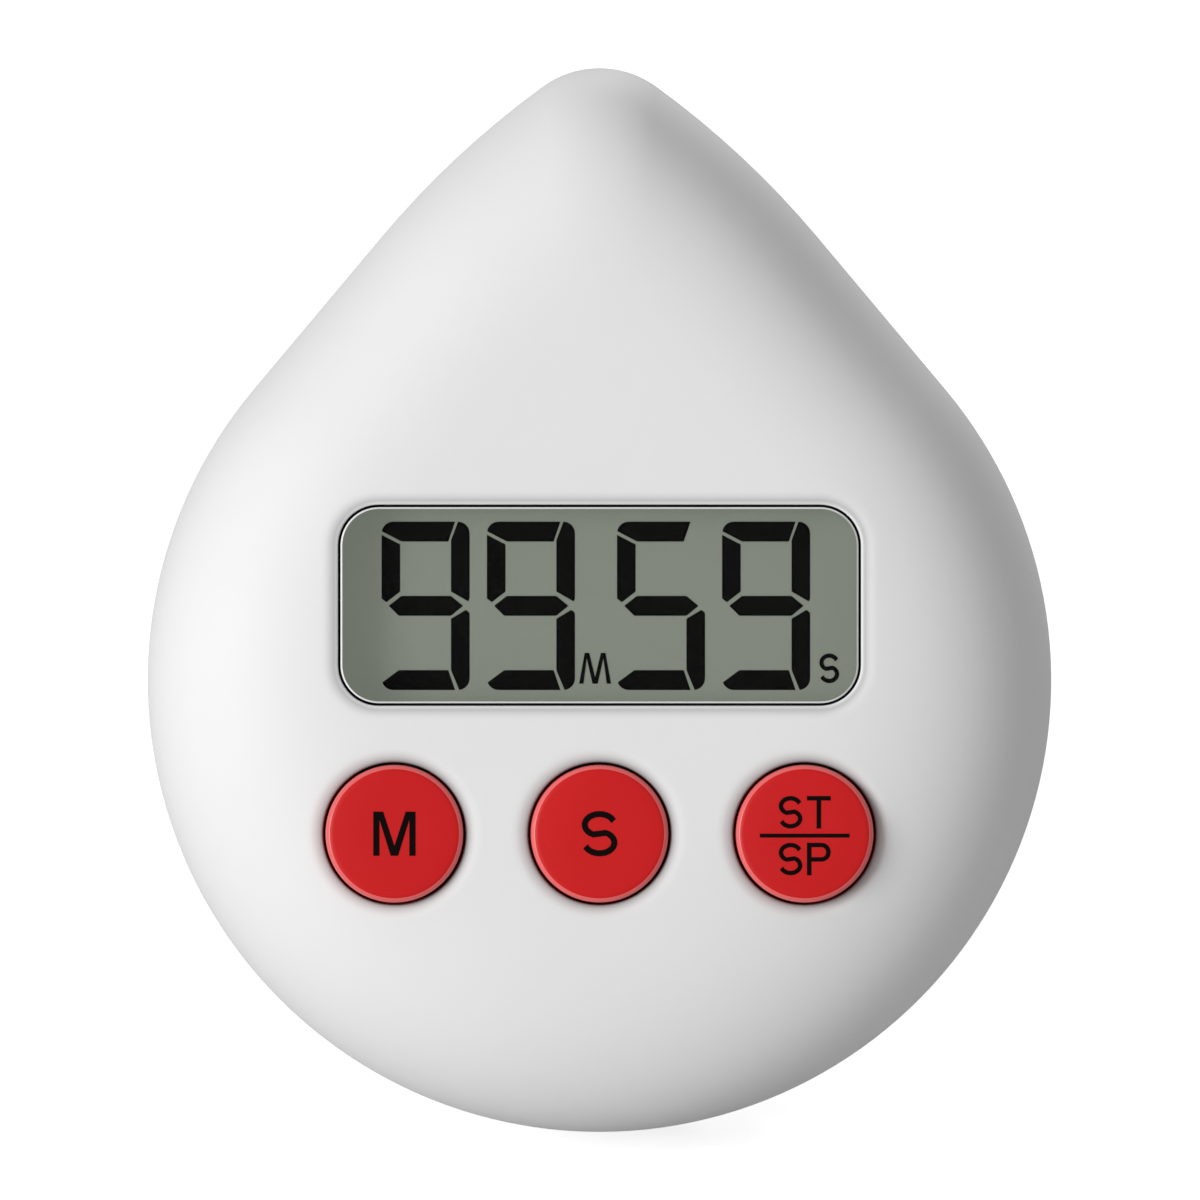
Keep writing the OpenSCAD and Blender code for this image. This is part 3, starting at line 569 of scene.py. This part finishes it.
# The display's ground glows faintly: painted light that lifts the shade the window's walls cast on it.
LCD_PAINTED_GLOW = {"Specular_IOR_Level": 0.1, "Emission_Color": (0.9, 1, 0.85, 1), "Emission_Strength": 0.16}
RED = (0.60, 0.012, 0.013)


def make_materials():
    """Every finish the timer uses, by the name of its slot or part."""
    return {
        "white_plastic": moulded("white_plastic", **WHITE_SHELL),
        # the front shell's white, darkened by painted shade round its openings
        "white_with_painted_shade": paint_shade_near_openings(moulded("white_with_painted_shade", **WHITE_SHELL)),
        "clear_lens": see_through("clear_lens", (0.99, 0.99, 0.985), 0.04, 1.16),
        "lens_edge": moulded("lens_edge", (0.82, 0.82, 0.82), 0.5),
        # black of the tape behind the window; on the lens it is painted shade for the gap
        "black_tape": moulded("black_tape", (0.012, 0.012, 0.012), 0.6, 0.1),
        "polariser_film": see_through("polariser_film", (0.99, 0.99, 0.98), 0.3, 1.01),
        "lcd_glass": see_through("lcd_glass", (0.99, 0.992, 0.99), 0.1, 1.01),
        "lcd_black": moulded("lcd_black", (0.004, 0.004, 0.004), 0.8, 0.1, 0.0, Specular_IOR_Level=0.0),
        "lcd_reflector": moulded("lcd_reflector", LCD_GREY, 0.8, 0.01, 0.0, **LCD_PAINTED_GLOW),
        "dark_plastic": moulded("dark_plastic", (0.03, 0.03, 0.032), 0.5, 0.08),
        "zebra_rubber": moulded("zebra_rubber", (0.1, 0.1, 0.11), 0.6, 0.25),
        "board_green": moulded("board_green", (0.02, 0.13, 0.05), 0.4, 0.12),
        "gold_pads": metal("gold_pads", (0.85, 0.6, 0.25), 0.25),
        "black_epoxy": moulded("black_epoxy", (0.01, 0.01, 0.01), 0.3, 0.2),
        "steel": metal("steel", (0.6, 0.6, 0.62), 0.3, stretch=(1, 6, 1)),
        "capacitor_ceramic": moulded("capacitor_ceramic", (0.42, 0.28, 0.16), 0.45, 0.06),
        "resistor_ceramic": moulded("resistor_ceramic", (0.05, 0.05, 0.055), 0.4, 0.1),
        "silicone": moulded("silicone", (0.6, 0.6, 0.58), 0.6, 0.02),
        "red_plastic": moulded("red_plastic", RED, 0.42, 0.03, 0.05, Specular_IOR_Level=0.15),
        # lighter red on the keys' bevel: painted highlight along the rim
        "key_rim_painted_highlight": moulded("key_rim_painted_highlight", (0.80, 0.13, 0.13), 0.3, 0.03, 0.05),
        "ink": moulded("ink", (0.004, 0.002, 0.002), 0.7, 0.15, 0.0, Specular_IOR_Level=0.05),
        "carbon_rubber": moulded("carbon_rubber", (0.015, 0.015, 0.015), 0.7, 0.15),
        "brass": metal("brass", (0.78, 0.58, 0.26), 0.3),
        "piezo_ceramic": moulded("piezo_ceramic", (0.72, 0.7, 0.64), 0.5, 0.04),
        "wire_plastic": moulded("wire_plastic", (0.35, 0.012, 0.01), 0.4, 0.06),
        "cell_can": metal("cell_can", (0.72, 0.72, 0.72), 0.28, stretch=(1, 1, 4)),
        "cell_sleeve": moulded("cell_sleeve", (0.05, 0.11, 0.3), 0.3, 0.06),
        "nickel_spring": metal("nickel_spring", (0.7, 0.68, 0.62), 0.25),
        "magnet_nickel": metal("magnet_nickel", (0.66, 0.65, 0.62), 0.3),
    }


# ---- keys and their legends ----
KEY_BEVEL = 0.32
FLANGE_R = BUTTON_R + 0.9
FLANGE_BACK = FLANGE_Y + 0.8
FLANGE_FLAT_Z = 4.7  # the flange is cut flat above this height over the key's centre
STEM_R = 2.2
STEM_Y = 5.0
KEY_NAMES = ("minutes", "seconds", "start")


def key(name, x, materials):
    """One key: flat face, bevelled rim, and the flange and stem behind it."""
    rim = BUTTON_R - KEY_BEVEL
    face = [(0, BUTTON_FACE), (2.4, BUTTON_FACE), (rim - 0.3, BUTTON_FACE + 0.01)]
    bevel = [
        (rim, BUTTON_FACE + 0.06), (BUTTON_R - 0.12, BUTTON_FACE + KEY_BEVEL - 0.1),
        (BUTTON_R, BUTTON_FACE + KEY_BEVEL + 0.1),
    ]
    back = [
        (BUTTON_R, FLANGE_Y), (FLANGE_R, FLANGE_Y), (FLANGE_R, FLANGE_BACK),
        (STEM_R, FLANGE_BACK), (STEM_R, STEM_Y), (0, STEM_Y),
    ]
    profile = face + bevel + back
    # the bevel's faces take the lighter red of the painted highlight
    slots = [1 if len(face) <= k < len(face) + 2 else 0 for k in range(len(profile) - 1)]
    parts = [materials["red_plastic"], materials["key_rim_painted_highlight"]]
    cap = lathe("key_" + name, profile, (x, BUTTON_Z), name + "_key", parts, slots=slots)
    inverse = FACE_MATRIX.inverted()
    for vertex in cap.data.vertices:
        point = inverse @ vertex.co
        if point.y > FLANGE_Y - 0.01 and point.z > BUTTON_Z + FLANGE_FLAT_Z:
            point.z = BUTTON_Z + FLANGE_FLAT_Z
            vertex.co = FACE_MATRIX @ point
    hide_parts("button_" + name)


# Section of a silicone dome, as radius and depth, from the tip of the stem to the sheet
DOME_RIM = 4.2
DOME_TOP = STEM_Y + 0.02
DOME_BACK = 6.75
DOME = (
    (0, DOME_TOP), (2.4, DOME_TOP), (2.9, 6.1), (DOME_RIM, 6.45), (DOME_RIM, DOME_BACK),
    (3.3, DOME_BACK), (2.3, 6.25), (1.9, 5.5), (0, 5.5),
)
SHEET_Y = 6.45
SHEET_DEPTH = 0.7
SHEET_HALF = 22.4
SHEET_LOW, SHEET_HIGH = 17.6, 27.8
HAIR = 0.004  # a slit this wide lets one outline go round a hole


def sheet_outline():
    """Keypad sheet from its lower left corner, going in and out of the hole under each dome."""
    radius = DOME_RIM + 0.05
    outline = [(-SHEET_HALF, SHEET_LOW)]
    for x in BUTTON_X:
        turns = np.linspace(HAIR / radius, math.tau - HAIR / radius, 49)
        hole = [(x - radius * math.sin(t), BUTTON_Z - radius * math.cos(t)) for t in turns]
        outline += [(x - HAIR, SHEET_LOW), *hole, (x + HAIR, SHEET_LOW)]
    return outline + [(SHEET_HALF, SHEET_LOW), (SHEET_HALF, SHEET_HIGH), (-SHEET_HALF, SHEET_HIGH)]


def keypad(materials):
    """Silicone sheet with a dome under each key."""
    silicone = materials["silicone"]
    sheet = plate("keypad_sheet", sheet_outline(), SHEET_Y, SHEET_DEPTH, "housing", silicone)
    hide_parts("keypad_membrane")
    for name, x in zip(KEY_NAMES, BUTTON_X):
        dome = lathe("keypad_dome_" + name, DOME, (x, BUTTON_Z), "housing", [silicone])
        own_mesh(dome)


# ---- signs ----
# Each letter is an outline in a unit square. Its upright strokes are stem wide and its level ones
# bar high, as shares of the letter's width and height.
def letter_m(stem, bar):
    """Two stems and a vee between them."""
    shoulder = 1.6 * stem
    foot = 0.6 * stem
    half = [(0, 0), (0, 1), (shoulder, 1), (0.5, 0.22)]
    inner = [(0.5 - foot, 0), (stem, 0.82), (stem, 0)]
    return half + [(1 - x, z) for x, z in half[2::-1]] + [(1 - x, z) for x, z in inner[::-1]] + inner


def thick_path(points, stem, bar):
    """Outline of a stroke along a path, stem wide where it is upright and bar high where it is level."""
    path = np.array(points)
    along = np.gradient(path, axis=0)
    normal = np.stack([-along[:, 1], along[:, 0]], axis=1) / np.hypot(*along.T)[:, None]
    side = normal * (stem / 2, bar / 2)
    return [tuple(p) for p in np.concatenate([path + side, (path - side)[::-1]])]


def letter_s(stem, bar):
    """Two open bowls joined by a slanted spine."""
    reach, rise = 0.5 - stem / 2, 0.27 - bar / 4
    turns = [math.radians(20 + 225 * k / 16) for k in range(17)]
    upper = [(0.5 + reach * math.cos(t), 1 - bar / 2 - rise + rise * math.sin(t)) for t in turns]
    return thick_path(upper + [(1 - x, 1 - z) for x, z in upper[::-1]], stem, bar)


def letter_t(stem, bar):
    """A stem under a level bar."""
    low, left, right = 1 - bar, 0.5 - stem / 2, 0.5 + stem / 2
    return [(0, 1), (0, low), (left, low), (left, 0), (right, 0), (right, low), (1, low), (1, 1)]


def bowl(x, z, reach, rise):
    """Points down the right half of an ellipse about (x, z)."""
    turns = np.linspace(math.pi / 2, -math.pi / 2, 13)
    return [(x + reach * math.cos(t), z + rise * math.sin(t)) for t in turns]


def letter_p(stem, bar):
    """A stem and a bowl; a hair-wide slit lets one outline go round the bowl's hole."""
    bowl_x, bowl_low, slit = 0.62, 0.42, 0.004
    middle, rise, reach = (1 + bowl_low) / 2, (1 - bowl_low) / 2, 1 - bowl_x
    outer = bowl(bowl_x, middle, reach, rise)
    inner = bowl(bowl_x, middle, reach - stem, rise - bar)[::-1]
    way_in = [(stem + slit, bowl_low), (stem + slit, bowl_low + bar)]
    way_out = [(stem + slit, 1 - bar), (stem, 1 - bar), (stem, 0), (0, 0), (0, 1)]
    return outer + way_in + inner + way_out


LETTERS = {"M": letter_m, "S": letter_s, "T": letter_t, "P": letter_p}
INK_FILM = 0.03


def sign(name, letter, centre, size, stem, y, body, material, splay=0.0):
    """One letter as a thin film whose back is at depth y; splay narrows its top."""
    outline = []
    for x, z in LETTERS[letter](stem / size[0], stem / size[1]):
        x = (x - 0.5) * (1 - splay * z)
        outline.append((centre[0] + x * size[0], centre[1] + (z - 0.5) * size[1]))
    plate(name, outline, y - INK_FILM, INK_FILM, body, material)


BIG_SIGNS = (("M", (3.25, 3.4), "minutes_key"), ("S", (2.76, 3.5), "seconds_key"))
BIG_STEM = 0.47
SMALL_SIGN = (1.82, 2.5)
SMALL_STEM = 0.34
SMALL_GAP = 0.36
BAR = (6.9, 0.3)
LINE_GAP = 0.4


def legends(materials):
    """Function signs on the keys: minutes, seconds, and the two states of the third key."""
    ink = materials["ink"]
    for (letter, size, body), x in zip(BIG_SIGNS, BUTTON_X):
        sign("sign_" + body, letter, (x, BUTTON_Z), size, BIG_STEM, BUTTON_FACE, body, ink)
    half_w, half_h = BAR[0] / 2, BAR[1] / 2
    x, middle = BUTTON_X[2], BUTTON_Z - half_h
    bar = rectangle(half_w, half_h, x, middle)
    plate("sign_bar", bar, BUTTON_FACE - INK_FILM, INK_FILM, "start_key", ink)
    step = (SMALL_SIGN[0] + SMALL_GAP) / 2
    rise = half_h + LINE_GAP + SMALL_SIGN[1] / 2
    for row, (text, side) in enumerate((("ST", 1), ("SP", -1))):
        for column, letter in enumerate(text):
            centre = (x + (2 * column - 1) * step, middle + side * rise)
            name = f"sign_row{row + 1}_{letter.lower()}"
            sign(name, letter, centre, SMALL_SIGN, SMALL_STEM, BUTTON_FACE, "start_key", ink)


# ---- window and display ----
LENS_CHAMFER = 0.13
LENS_FLANGE = (44.0, 19.2, 1.0)
FLANGE_FRONT = SEAT_Y + 0.1  # behind the tape
FLANGE_DEPTH = 0.8


def lens(materials):
    """Clear plug of the window with a frosted bevel, a black side and a flange behind the housing; the
    black of its side and flange step is painted shade that keeps the gap round it dark.
    """
    width, height, radius = LENS
    chamfered = (width - 2 * LENS_CHAMFER, height - 2 * LENS_CHAMFER, radius - LENS_CHAMFER)
    layers = (
        (chamfered, LENS_FACE), (LENS, LENS_FACE + LENS_CHAMFER), (LENS, FLANGE_FRONT),
        (LENS_FLANGE, FLANGE_FRONT), (LENS_FLANGE, FLANGE_FRONT + FLANGE_DEPTH),
    )
    verts, loops, faces = [], [], []
    for size, y in layers:
        outline = rounded_loop(*size, WINDOW_Z)
        loops.append(list(range(len(verts), len(verts) + len(outline))))
        verts += [(x, y, z) for x, z in outline]
    for front, back in zip(loops, loops[1:]):
        faces += strip(front, back)
    faces += [loops[0], loops[-1][::-1]]
    # The lens's side and the flange's step take this black: painted shade that keeps the gap round the
    # lens dark.
    finishes = [materials["lens_edge"], materials["black_tape"], materials["clear_lens"]]
    piece = add_mesh("window_lens", verts, faces, "housing", finishes)
    for polygon in piece.data.polygons:
        row = polygon.index // len(loops[0])  # bevel, side, step of the flange, then the rest
        polygon.material_index = (0, 1, 1, 2)[min(row, 3)]
    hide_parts("display_window")


CRYSTAL = (21.3, 8.7)  # half width and half height of the liquid-crystal layer
FIGURE_FILM = 0.03
CRYSTAL_FILM = 0.01
DIGIT_W = 6.8
DIGIT_H = 13.0
LEVEL_STROKE = 1.54
UPRIGHT_STROKE = 1.44
POINT = 0.28  # how far the bars' pointed ends stand from the digit's sides and waist
CORNER = 0.9
SPLIT = 0.11  # gap between neighbouring bars
DIGIT_X = (-16.82, -8.69, 1.35, 9.46)
DIGIT_Z = WINDOW_Z - 6.55
UNIT_Z = WINDOW_Z - 4.87
UNIT_STEM = 0.34
# letter, centre, width and height, and how much the top is narrowed
UNIT_SIGNS = (("M", -0.34, (2.47, 2.38), 0.35), ("S", 17.73, (1.54, 2.3), 0.0))
SHOWN = ("abcdfg", "abcdfg", "acdfg", "abcdfg")  # the lit bars of each digit


def arc(x, z, start, end):
    """Points of a rounded corner about (x, z), between two angles in degrees."""
    steps = 5
    turns = [math.radians(start + (end - start) * k / steps) for k in range(steps + 1)]
    return [(x + CORNER * math.cos(t), z + CORNER * math.sin(t)) for t in turns]


def segment_outlines():
    """The bars of a digit, from its lower left corner; each corner belongs to one bar."""
    w, h, waist, half = DIGIT_W, DIGIT_H, DIGIT_H / 2, LEVEL_STROKE / 2
    left_in, right_in = UPRIGHT_STROKE, DIGIT_W - UPRIGHT_STROKE
    low_in = left_in - 0.1  # lower edges of the level bars start a little further left
    low, high = LEVEL_STROKE, DIGIT_H - LEVEL_STROKE
    top = arc(CORNER, h - CORNER, 170, 90)
    top += [(w - CORNER - 2 * SPLIT, h), (w - LEVEL_STROKE - SPLIT, high), (LEVEL_STROKE, high)]
    right = arc(w - CORNER, h - CORNER, 90, 0)
    right += [(w, waist + 2 * POINT), (w - SPLIT, waist + POINT + SPLIT / 2)]
    right += [(right_in, waist + half + 3 * SPLIT), (right_in, high + SPLIT)]
    left = [(0, h - CORNER - SPLIT), (left_in, high - 2 * SPLIT), (left_in, waist + half + 3 * SPLIT)]
    left += [(POINT + 0.1, waist + POINT), (0, waist + 2 * POINT)]
    middle = [(0.55, waist), (LEVEL_STROKE, waist + half), (right_in, waist + half)]
    middle += [(w - 0.5, waist), (right_in, waist - half), (low_in, waist - half)]
    lower = [(right_in, waist - half - 2 * SPLIT), (w - POINT, waist - 0.3), (w, waist - 2 * POINT)]
    lower += arc(w - CORNER, CORNER, 0, -84) + [(right_in, low)]
    bottom = [(low_in, low), (w - LEVEL_STROKE - SPLIT, low), (w - CORNER - 2 * SPLIT, 0)]
    bottom += arc(CORNER, CORNER, 270, 200)
    return {"a": top, "b": right, "c": lower, "d": bottom, "f": left, "g": middle}


def display(materials):
    """The dark figures and unit signs of the display, in place of the segment film."""
    lowest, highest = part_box("lcd_segments")
    y = (FACE_MATRIX.inverted() @ ((lowest + highest) / 2)).y
    black = materials["lcd_black"]
    verts, faces = [], []
    for left, bars in zip(DIGIT_X, SHOWN):
        for bar in bars:
            outline = [(left + x, DIGIT_Z + z) for x, z in segment_outlines()[bar]]
            bar_verts, bar_faces = slab(outline, y, FIGURE_FILM, len(verts))
            verts += bar_verts
            faces += bar_faces
    figures = add_mesh("lcd_figures", verts, faces, "housing", [black])
    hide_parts("lcd_segments")
    layer = rectangle(*CRYSTAL, 0, WINDOW_Z)
    ground = materials["lcd_reflector"]
    crystal = plate("lcd_crystal", layer, y + FIGURE_FILM, CRYSTAL_FILM, "housing", ground)
    for letter, x, size, splay in UNIT_SIGNS:
        name = "lcd_unit_" + letter.lower()
        sign(name, letter, (x, UNIT_Z), size, UNIT_STEM, y, "housing", black, splay)


# ---- the rest of the CAD pieces ----
REFINED = (
    # node, slot, edge bevel in millimetres
    ("back_housing", "white_plastic", 0.18),
    ("battery_door", "white_plastic", 0.15),
    ("stand", "white_plastic", 0.18),
    ("magnet_left", "magnet_nickel", 0.12),
    ("magnet_right", "magnet_nickel", 0.12),
    ("back_screws", "steel", 0.08),
)
KEPT = {
    "window_tape": "black_tape", "lcd_front_polariser": "polariser_film", "lcd_front_glass": "lcd_glass",
    "lcd_rear_glass": "lcd_glass", "lcd_rear_polariser": "lcd_reflector", "lcd_holder": "dark_plastic",
    "zebra_strip": "zebra_rubber", "circuit_board": "board_green", "contact_pads": "gold_pads",
    "chip_blob": "black_epoxy", "crystal": "steel", "capacitors": "capacitor_ceramic",
    "resistors": "resistor_ceramic", "board_screws": "steel",
    "carbon_pill_minutes": "carbon_rubber", "carbon_pill_seconds": "carbon_rubber",
    "carbon_pill_start": "carbon_rubber", "buzzer_disc": "brass", "buzzer_ceramic": "piezo_ceramic",
    "buzzer_wires": "wire_plastic", "battery_cell": "cell_can", "battery_sleeve": "cell_sleeve",
    "contact_spring": "nickel_spring", "contact_plate": "nickel_spring", "battery_wires": "wire_plastic",
}


def other_pieces(materials):
    """Refined outer pieces, and inner ones that keep their CAD mesh under a new finish."""
    for node, slot, bevel in REFINED:
        refine(node, materials[slot], bevel)
    for node, slot in KEPT.items():
        mesh = frame["nodes"][node].data
        mesh.materials.clear()
        mesh.materials.append(materials[slot])


# ---- studio ----
FRAME_WIDTH = 0.0927  # metres of the face plane across the picture
CAMERA_DISTANCE = 2.5
AIM = (0.04, 7.0, 41.2)
KEY_TURN = math.radians(44)  # how far to the left of the face's normal the light stands
KEY_LIFT = 0.02
KEY_DISTANCE = 1.7
KEY_SIZE = 0.9
KEY_POWER = 21.8
BACK_POWER = 9  # shows the back in other views, and only grazes the face
BACK_TURN = 0.25
AMBIENT = 0.4
FLOOR_SHADE = 0.55
FLOOR_GLOW = 0.75  # lifts the floor to white for the camera without lighting the timer
FLOOR_REACH = 8.0
CLEAR_LAYERS = 24  # clear surfaces that a ray may pass on its way to the display's ground


def paper():
    """Pale paper that the camera sees brighter than the timer does."""
    material = moulded("paper", (FLOOR_SHADE,) * 3, 0.9, 0.01, 0.0, Emission_Color=(1, 1, 1, 1))
    tree = material.node_tree
    seen = tree.nodes.new("ShaderNodeLightPath")
    glow = tree.nodes.new("ShaderNodeMapRange")
    glow.inputs["To Max"].default_value = FLOOR_GLOW
    tree.links.new(seen.outputs["Is Camera Ray"], glow.inputs["Value"])
    tree.links.new(glow.outputs["Result"], tree.nodes["Principled BSDF"].inputs["Emission Strength"])
    return material


def floor():
    """Wide pale floor that reaches past the picture in every view."""
    corners = [(x, y, 0) for x, y in rectangle(FLOOR_REACH, FLOOR_REACH, 0, 0)]
    mesh = bpy.data.meshes.new("floor")
    mesh.from_pydata(corners, [], [(0, 1, 2, 3)])
    mesh.materials.append(paper())
    ground = bpy.data.objects.new("floor", mesh)
    bpy.context.scene.collection.objects.link(ground)


def soft_light(name, middle, towards, power):
    """Round soft light that stands in a direction from the timer's middle and faces it."""
    light = bpy.data.lights.new(name, "AREA")
    light.shape = "DISK"
    light.size = KEY_SIZE
    light.energy = power
    lamp = bpy.data.objects.new(name, light)
    lamp.location = middle + towards.normalized() * KEY_DISTANCE
    lamp.rotation_euler = (middle - lamp.location).to_track_quat("-Z", "Y").to_euler()
    bpy.context.scene.collection.objects.link(lamp)


def camera_on(middle):
    """Camera square to the face, far enough away to look almost parallel."""
    scene = bpy.context.scene
    camera = bpy.data.cameras.new("camera")
    camera.sensor_width = 36.0
    camera.lens = camera.sensor_width * CAMERA_DISTANCE / FRAME_WIDTH
    camera.clip_end = 100
    viewer = bpy.data.objects.new("camera", camera)
    turn = Matrix((ACROSS, UPWARD, -INWARD)).transposed().to_4x4()
    viewer.matrix_world = Matrix.Translation(middle - INWARD * CAMERA_DISTANCE) @ turn
    scene.collection.objects.link(viewer)
    scene.camera = viewer


def surroundings():
    """Even white light from all round."""
    world = bpy.data.worlds.new("world")
    world.use_nodes = True
    world.node_tree.nodes["Background"].inputs["Color"].default_value = (1, 1, 1, 1)
    world.node_tree.nodes["Background"].inputs["Strength"].default_value = AMBIENT
    bpy.context.scene.world = world


def studio():
    """Floor, camera, soft light from the left and a weaker one from behind."""
    middle = FACE_MATRIX @ Vector(AIM)
    floor()
    camera_on(middle)
    towards_key = -INWARD * math.cos(KEY_TURN) - ACROSS * math.sin(KEY_TURN) + UPWARD * KEY_LIFT
    soft_light("key_light", middle, towards_key, KEY_POWER)
    soft_light("back_light", middle, INWARD + ACROSS * BACK_TURN + UPWARD, BACK_POWER)
    surroundings()
    scene = bpy.context.scene
    scene.view_settings.view_transform = "Standard"
    scene.cycles.transparent_max_bounces = CLEAR_LAYERS


materials = make_materials()
front_shell(materials["white_with_painted_shade"])
for key_name, key_x in zip(KEY_NAMES, BUTTON_X):
    key(key_name, key_x, materials)
keypad(materials)
legends(materials)
lens(materials)
display(materials)
other_pieces(materials)
studio()
